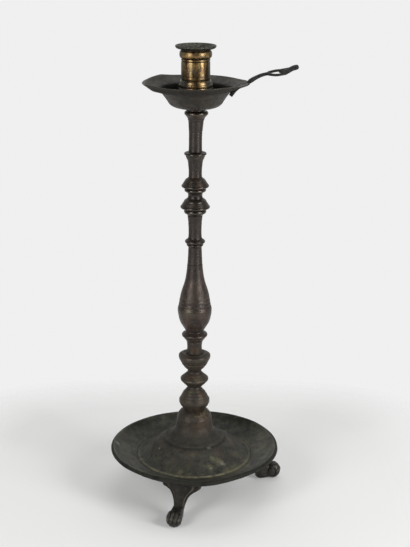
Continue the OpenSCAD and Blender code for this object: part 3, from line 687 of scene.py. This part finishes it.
def foot(name, degrees, further, aside):
    """A foot in one piece: its leg, and its ball of toes and its heel set further out and aside."""
    leg_grid, leg_edges = leg()
    ball, ball_edges = toes()
    heel = cushion((76.2, 0, 8.1), (10.2, 4.5, 7.4))
    c, s = np.cos(np.radians(degrees)), np.sin(np.radians(degrees))
    spin = np.array([[c, s, 0], [-s, c, 0], [0, 0, 1]])
    turned = []
    for grid, shift in ((leg_grid, 0), (ball, aside), (heel, 1.4 * aside)):
        rough = grid + 0.12 * np.stack([waves(grid, 7, 60 + k) for k in range(3)], -1)
        rough[..., 2] = np.clip(rough[..., 2], 0, 38)
        rough[..., 0] += further * np.clip((36 - rough[..., 2]) / 20, 0, 1)
        rough[..., 1] += shift
        turned.append((rough @ spin, "poles"))
    piece("cast_" + name, turned, "stand", [name], foot_paint, [leg_edges, ball_edges, None])


for name, place in FEET.items():
    foot(name, *place)


# Drip pan, in heights over its underside at PAN_Z, with its brim bent at the left

BRIM_R = 49.6
# Rounds of (angle about the stem, mm): how far the brim's edge is raised, how far it sags between edge and
# bowl, and how far it is knocked outwards
BRIM_RISES = line([0, 0.7], [13, 0.8], [26, 0.2], [34, 0], [47, 0.3], [60, 0.6], [105, 0.8], [118, 1.3],
                  [127, 2.2], [134, 3.0], [141, 2.7], [150, 2.0], [160, 1.0], [180, 0.9], [196, 1.2],
                  [208, 2.1], [219, 2.1], [228, 1.6], [237, 1.1], [270, 1.1], [290, 1.4], [300, 1.7],
                  [312, 1.3], [324, 0.6], [332, 0.4], [345, 0.3], [360, 0.7])
BRIM_SAGS = line([0, 0.6], [150, 0], [170, -0.8], [188, -2.0], [197, -2.4], [210, -2.1], [225, -2.1],
                 [240, -1.5], [258, -0.5], [280, 0], [300, 0.2], [318, 1.0], [340, 1.2], [360, 0.6])
BRIM_SPREADS = line([0, 1.9], [12, 0.9], [25, 0], [145, 0], [160, 0.9], [185, 1.8], [210, 1.4], [235, 0.3],
                    [250, 0], [325, 0], [341, 1.0], [352, 2.2], [360, 1.9])


def bent_brim(grid):
    """The brim knocked out of true: each point is raised, sagged and spread by the three rounds at its
    angle, the more so towards the edge."""
    angle = np.degrees(np.arctan2(grid[..., 1], grid[..., 0])) % 360
    radius = np.hypot(grid[..., 0], grid[..., 1])
    rise, sag, spread = (np.interp(angle, *table.T) for table in (BRIM_RISES, BRIM_SAGS, BRIM_SPREADS))
    share = np.clip((radius - 32) / (BRIM_R - 32), 0, 1)
    out = grid.copy()
    out[..., :2] *= (1 + spread * share ** 3 / np.maximum(radius, 1))[..., None]
    out[..., 2] += rise * share ** 1.4 + sag * np.exp(-0.5 * ((radius - 41.5) / 4) ** 2)
    return out


pan_profile = line(
    [4.05, 0], [11, 0], [12, 0.5], curve([14.6, 1], [24.2, 2], [26.4, 7]), [28.9, 10.8], [33, 16.4],
    [33.8, 17.3], curve([34.4, 17.7], [42, 20], [49.2, 23.6]), [BRIM_R, 24.4], [49, 24.8],
    curve([48, 24.8], [42, 21.8], [34, 19.6]), [31.6, 17.8], [26.8, 10.8],
    curve([26, 9.6], [23.6, 3.6], [17.4, 3.2]), [14, 3.2], [12, 1.6], [4.05, 1.6]) + [0, PAN_Z]
turned_piece("pan", pan_profile, "chamberstick", pan_paint,
             around=240, step=0.5, amount=0.15, seed=50, warp=bent_brim)

spigot_profile = line(
    [0.2, 0], [3.2, 0], [4, 1], [4, 30], [8.4, 30], [9, 30.6], [9, 31.6], [4, 31.6], [4, 33.8], [7, 33.8],
    [6.4, 35], [4, 35.8], [0.2, 36]) + [0, 367.7]
turned_piece("pan_spigot", spigot_profile, "spigot", stem_paint,
             around=96, step=0.4, amount=0.0, seed=51)

skirt_profile = line(
    [14.2, 3.5], [15, 3.2], [17.4, 3.2], [20.4, 4.2], [20.2, 5.2], [19.2, 5.8], [19.4, 6.2], [18.8, 7.8],
    [18.4, 8], [18.5, 8.4], curve([18.2, 9], [17.2, 17], [16.5, 20.6]), [16.1, 21.2], [16.1, 21.6],
    [16.4, 22], [16.2, 24], [15.6, 24.6], [15.7, 25], [14.9, 27.2], [14.4, 27.8], [13.45, 27.8],
    [13.45, 12.4], [14.2, 11.4]) + [0, PAN_Z]
turned_piece("socket_skirt", skirt_profile, "chamberstick", skirt_paint,
             around=144, step=0.4, amount=0.08, seed=52)

LIP_Z = 460
socket_profile = line(
    [11, -48], [13.45, -48], [13.45, -32.4], [13.8, -31.6], [13.8, -29.6], [13.65, -29.2], [13.8, -28.8],
    [13.8, -15.6], [13.4, -15.2], [13.4, -14.6], [13.9, -14.2], [13.9, -13.4], [13.5, -13], [13.5, -12.4],
    bead(13.9, -12, -5, 1.6), [13.5, -4.6], [14.2, -4], curve([14.6, -3.8], [18.6, -3.4], [19.4, -1.6]),
    [19.6, -1], [19.4, -0.2], [18.6, 0], [17.4, -0.4], [12.6, -3.6], [11, -6], [11, -30], [0.2, -30],
    [0.2, -32.4], [11, -32.4]) + [0, LIP_Z]
turned_piece("socket", socket_profile, "chamberstick", socket_paint,
             around=160, step=0.4, amount=0.1, seed=53)


# Handle, as distances from the stem and heights over the pan's underside. Its middle line is a row of
# (out, height, half width, half thickness, roll in degrees), near side down

STRAP = np.array([
    [33.2, 12.6, 2.6, 1.7, 0], [35.0, 15.4, 3.3, 2.0, 0], [37.4, 17.6, 3.4, 1.5, 0],
    [40.6, 19.6, 3.4, 0.6, 0], [44, 21.4, 3.4, 0.5, 0], [47, 22.9, 3.6, 0.6, 2],
    [49.4, 24.9, 3.9, 1.1, 6], [51.4, 26.6, 4.2, 1.45, 8],
    [53.4, 27.8, 4.2, 1.5, 8], [56, 29.3, 3.8, 1.5, 7], [59, 30.9, 3.3, 1.45, 5], [62, 32.2, 3.0, 1.4, 4],
    [65.4, 33.2, 2.9, 1.4, 2.6], [68.4, 33.8, 3.2, 1.3, 2.4], [70.6, 34.1, 1.2, 0.9, 2.4]])
LOOP_LINE = line([62, 32.3], [67.3, 33.7], [73, 34.2], [79, 34.7], [84.5, 35.7], [88, 37.0], [90, 38.0],
                 [92, 38.8], [95, 39.5], [97.5, 39.9])
LEAF = np.array([
    [78.6, 0.3, 0.5], [79.8, 1.6, 0.9], [81, 4.2, 1.2], [82.2, 7.2, 1.3], [84, 9.1, 1.3], [86.4, 9.6, 1.3],
    [88.4, 9.0, 1.3], [90, 7.6, 1.5], [91.6, 6.2, 1.8], [93, 5.6, 2.0], [94.6, 5.3, 2.1], [95.6, 4.8, 2.0],
    [96.4, 3.8, 1.8], [97.0, 2.4, 1.4], [97.3, 0.8, 0.7]])
LOOP_ROLL = 2.4


def rolled(grid, degrees):
    """The grid sheared so that its near side, towards -Y, hangs lower, as if it were rolled by degrees."""
    out = grid.copy()
    out[..., 2] += grid[..., 1] * np.tan(np.radians(degrees))
    return out


def flat_bar(x, z, half, thick, full=0.55, count=40):
    """A flat bar through (x, z) in the plane y = 0: at each place an oblong, half wide to each side and
    thick up and down, square to the way that the bar runs."""
    way = np.stack([np.gradient(x), np.gradient(z)], 1)
    way /= np.linalg.norm(way, axis=1, keepdims=True)
    a = np.linspace(0, 2 * np.pi, count, endpoint=False)[None, :]
    up = np.sign(np.sin(a)) * np.abs(np.sin(a)) ** full * np.asarray(thick)[:, None]
    across = np.sign(np.cos(a)) * np.abs(np.cos(a)) ** full * np.asarray(half)[:, None]
    return np.stack([x[:, None] - way[:, 1:] * up, across, z[:, None] + way[:, :1] * up], -1)


def handle():
    """The handle in three parts that run into each other: the strap, the ring of the finger loop and the
    leaf-shaped thumb rest, domed on top."""
    strap = bell_mean(evened(STRAP, 0.5), 0.5, 0.9)
    strap_grid = rolled(flat_bar(strap[:, 0], strap[:, 1], strap[:, 2], strap[:, 3]), strap[:, 4:])
    loop_line = softened(LOOP_LINE, 0.5, 1.2)
    t = np.linspace(0, 2 * np.pi, 120, endpoint=False)[:, None]
    a = np.linspace(0, 2 * np.pi, 24, endpoint=False)[None, :]
    wide, tall = 1.6, 1.15
    radius = 10.9 + wide * np.sign(np.cos(a)) * np.abs(np.cos(a)) ** 0.6
    x = 79.3 + radius * np.cos(t)
    height = np.interp(x, loop_line[:, 0], loop_line[:, 1])
    round_up = tall * np.sign(np.sin(a)) * np.abs(np.sin(a)) ** 0.6
    ring_grid = rolled(np.stack([x, radius * np.sin(t), height + round_up], -1), LOOP_ROLL)
    leaf = bell_mean(evened(LEAF, 0.25), 0.25, 0.35)
    leaf_z = np.interp(leaf[:, 0], loop_line[:, 0], loop_line[:, 1])
    leaf_grid = flat_bar(leaf[:, 0], leaf_z, leaf[:, 1], leaf[:, 2], full=0.75)
    side = np.abs(leaf_grid[..., 1]) / 9.6
    leaf_grid[..., 2] += 0.5 - 1.1 * side ** 2
    shells = [(strap_grid, "poles"), (ring_grid, "ring"), (rolled(leaf_grid, LOOP_ROLL), "poles")]
    placed = [(grid + 0.1 * np.stack([waves(grid, 9, 80 + k) for k in range(3)], -1) + [0, 0, PAN_Z], ends)
              for grid, ends in shells]
    piece("forged_handle", placed, "chamberstick", ["handle"], handle_paint)


handle()


# Each rivet's distance from the stem, and the heights of its head and of its end under the strap
RIVETS = ((39.4, 21.2, 18.0), (45.6, 23.6, 21.5))
RIVET_SLOPE = 0.38


def rivets():
    """Two low round heads on the brim, bent with it, and their flush ends under the strap."""
    shells = []
    for out, head, end in RIVETS:
        for height, wide, tall in ((head, 2.2, 0.55), (end, 1.5, 0.3)):
            grid = cushion((0, 0, 1), (wide, wide, tall), 0.9)
            grid[..., 2] += height - 1 + RIVET_SLOPE * grid[..., 0]
            shells.append((bent_brim(grid + [out, 0, 0]) + [0, 0, PAN_Z], "poles"))
    piece("domed_handle_rivets", shells, "chamberstick", ["handle_rivets"], pan_paint)


rivets()


# The pieces of the frame that stay as they are

for name, paint in {"tie_rod": iron_paint, "rod_washer": iron_paint, "rod_nut": iron_paint,
                    "foot_rivets": dish_paint}.items():
    mesh = frame["nodes"][name].data
    mesh.materials.clear()
    mesh.materials.append(paint)


# Floor, light and camera

def floor():
    """A pale floor, lit a little from below, that runs out softly to the background for the camera alone."""
    reach = 3.0
    corners = [(-reach, -reach, 0), (reach, -reach, 0), (reach, reach, 0), (-reach, reach, 0)]
    mesh = bpy.data.meshes.new("floor")
    mesh.from_pydata(corners, [], [(0, 1, 2, 3)])
    made = bpy.data.objects.new("floor", mesh)
    bpy.context.scene.collection.objects.link(made)
    p = Paint("floor paper")
    separate = p.node("ShaderNodeSeparateXYZ", {0: p.place})
    fourth = [p.sum("POWER", separate.outputs[k], 4.0) for k in (0, 1)]
    distance = p.sum("POWER", p.sum("ADD", *fourth), 0.25)
    ray = p.node("ShaderNodeLightPath")
    seen = p.both(p.span(distance, 0.21, 0.3), ray.outputs["Is Camera Ray"])
    diffuse = p.node("ShaderNodeBsdfDiffuse", {"Color": (0.8, 0.8, 0.792, 1)})
    glow = p.node("ShaderNodeEmission", {"Color": (1, 1, 0.99, 1), "Strength": 0.135})
    lit = p.node("ShaderNodeAddShader", {0: diffuse.outputs[0], 1: glow.outputs[0]})
    clear = p.node("ShaderNodeBsdfTransparent")
    blend = p.node("ShaderNodeMixShader", {0: seen, 1: lit.outputs[0], 2: clear.outputs[0]})
    p.node("ShaderNodeOutputMaterial", {"Surface": blend.outputs[0]})
    mesh.materials.append(p.material)


def softbox(name, place, aim, wide, tall, power):
    """A flat light, wide by tall metres, at a place and turned to shine at aim."""
    light = bpy.data.lights.new(name, "AREA")
    light.shape = "RECTANGLE"
    light.size = wide
    light.size_y = tall
    light.energy = power
    made = bpy.data.objects.new(name, light)
    bpy.context.scene.collection.objects.link(made)
    made.location = place
    made.rotation_euler = (Vector(aim) - Vector(place)).to_track_quat("-Z", "Y").to_euler()


def world(camera_level, behind, before):
    """A pale background for the camera. The room's own light comes more from behind the object, where the
    white backdrop is, than from the dark side of the studio before it."""
    made = bpy.data.worlds.new("room")
    bpy.context.scene.world = made
    made.use_nodes = True
    tree = made.node_tree
    tree.nodes.clear()
    way = tree.nodes.new("ShaderNodeTexCoord")
    parts = tree.nodes.new("ShaderNodeSeparateXYZ")
    tree.links.new(way.outputs["Generated"], parts.inputs[0])
    room = tree.nodes.new("ShaderNodeMapRange")
    tree.links.new(parts.outputs[1], room.inputs["Value"])
    for key, value in {"From Min": -0.3, "From Max": 0.8, "To Min": before, "To Max": behind}.items():
        room.inputs[key].default_value = value
    path = tree.nodes.new("ShaderNodeLightPath")
    mixed = tree.nodes.new("ShaderNodeMix")
    mixed.data_type = "FLOAT"
    tree.links.new(path.outputs["Is Camera Ray"], mixed.inputs[0])
    tree.links.new(room.outputs[0], mixed.inputs[2])
    mixed.inputs[3].default_value = camera_level
    back = tree.nodes.new("ShaderNodeBackground")
    back.inputs[0].default_value = (1, 1, 1, 1)
    tree.links.new(mixed.outputs[0], back.inputs[1])
    out = tree.nodes.new("ShaderNodeOutputWorld")
    tree.links.new(back.outputs[0], out.inputs[0])


def camera():
    """The photograph's camera: 1.18 m before the stem and 0.61 m up, looking 17.4 degrees down."""
    data = bpy.data.cameras.new("camera")
    data.lens = 82.33
    data.sensor_width = 36
    data.shift_x = 0.0185
    made = bpy.data.objects.new("camera", data)
    bpy.context.scene.collection.objects.link(made)
    tilt = Matrix.Rotation(np.radians(72.615), 4, "X") @ Matrix.Rotation(np.radians(0.24), 4, "Z")
    made.matrix_world = Matrix.Translation((0, -1.1847, 0.6060)) @ tilt
    bpy.context.scene.camera = made


floor()
world(0.87, 0.62, 0.05)
softbox("softbox left", (-1.07, -1.19, 0.75), (0, 0, 0.2), 0.55, 1.3, 17)
softbox("softbox right", (1.26, -0.98, 0.75), (0, 0, 0.2), 0.6, 1.3, 22)
softbox("softbox top", (0.2, 0.45, 1.9), (0, 0, 0), 1.3, 1.0, 6)
camera()
bpy.context.scene.view_settings.view_transform = "Standard"
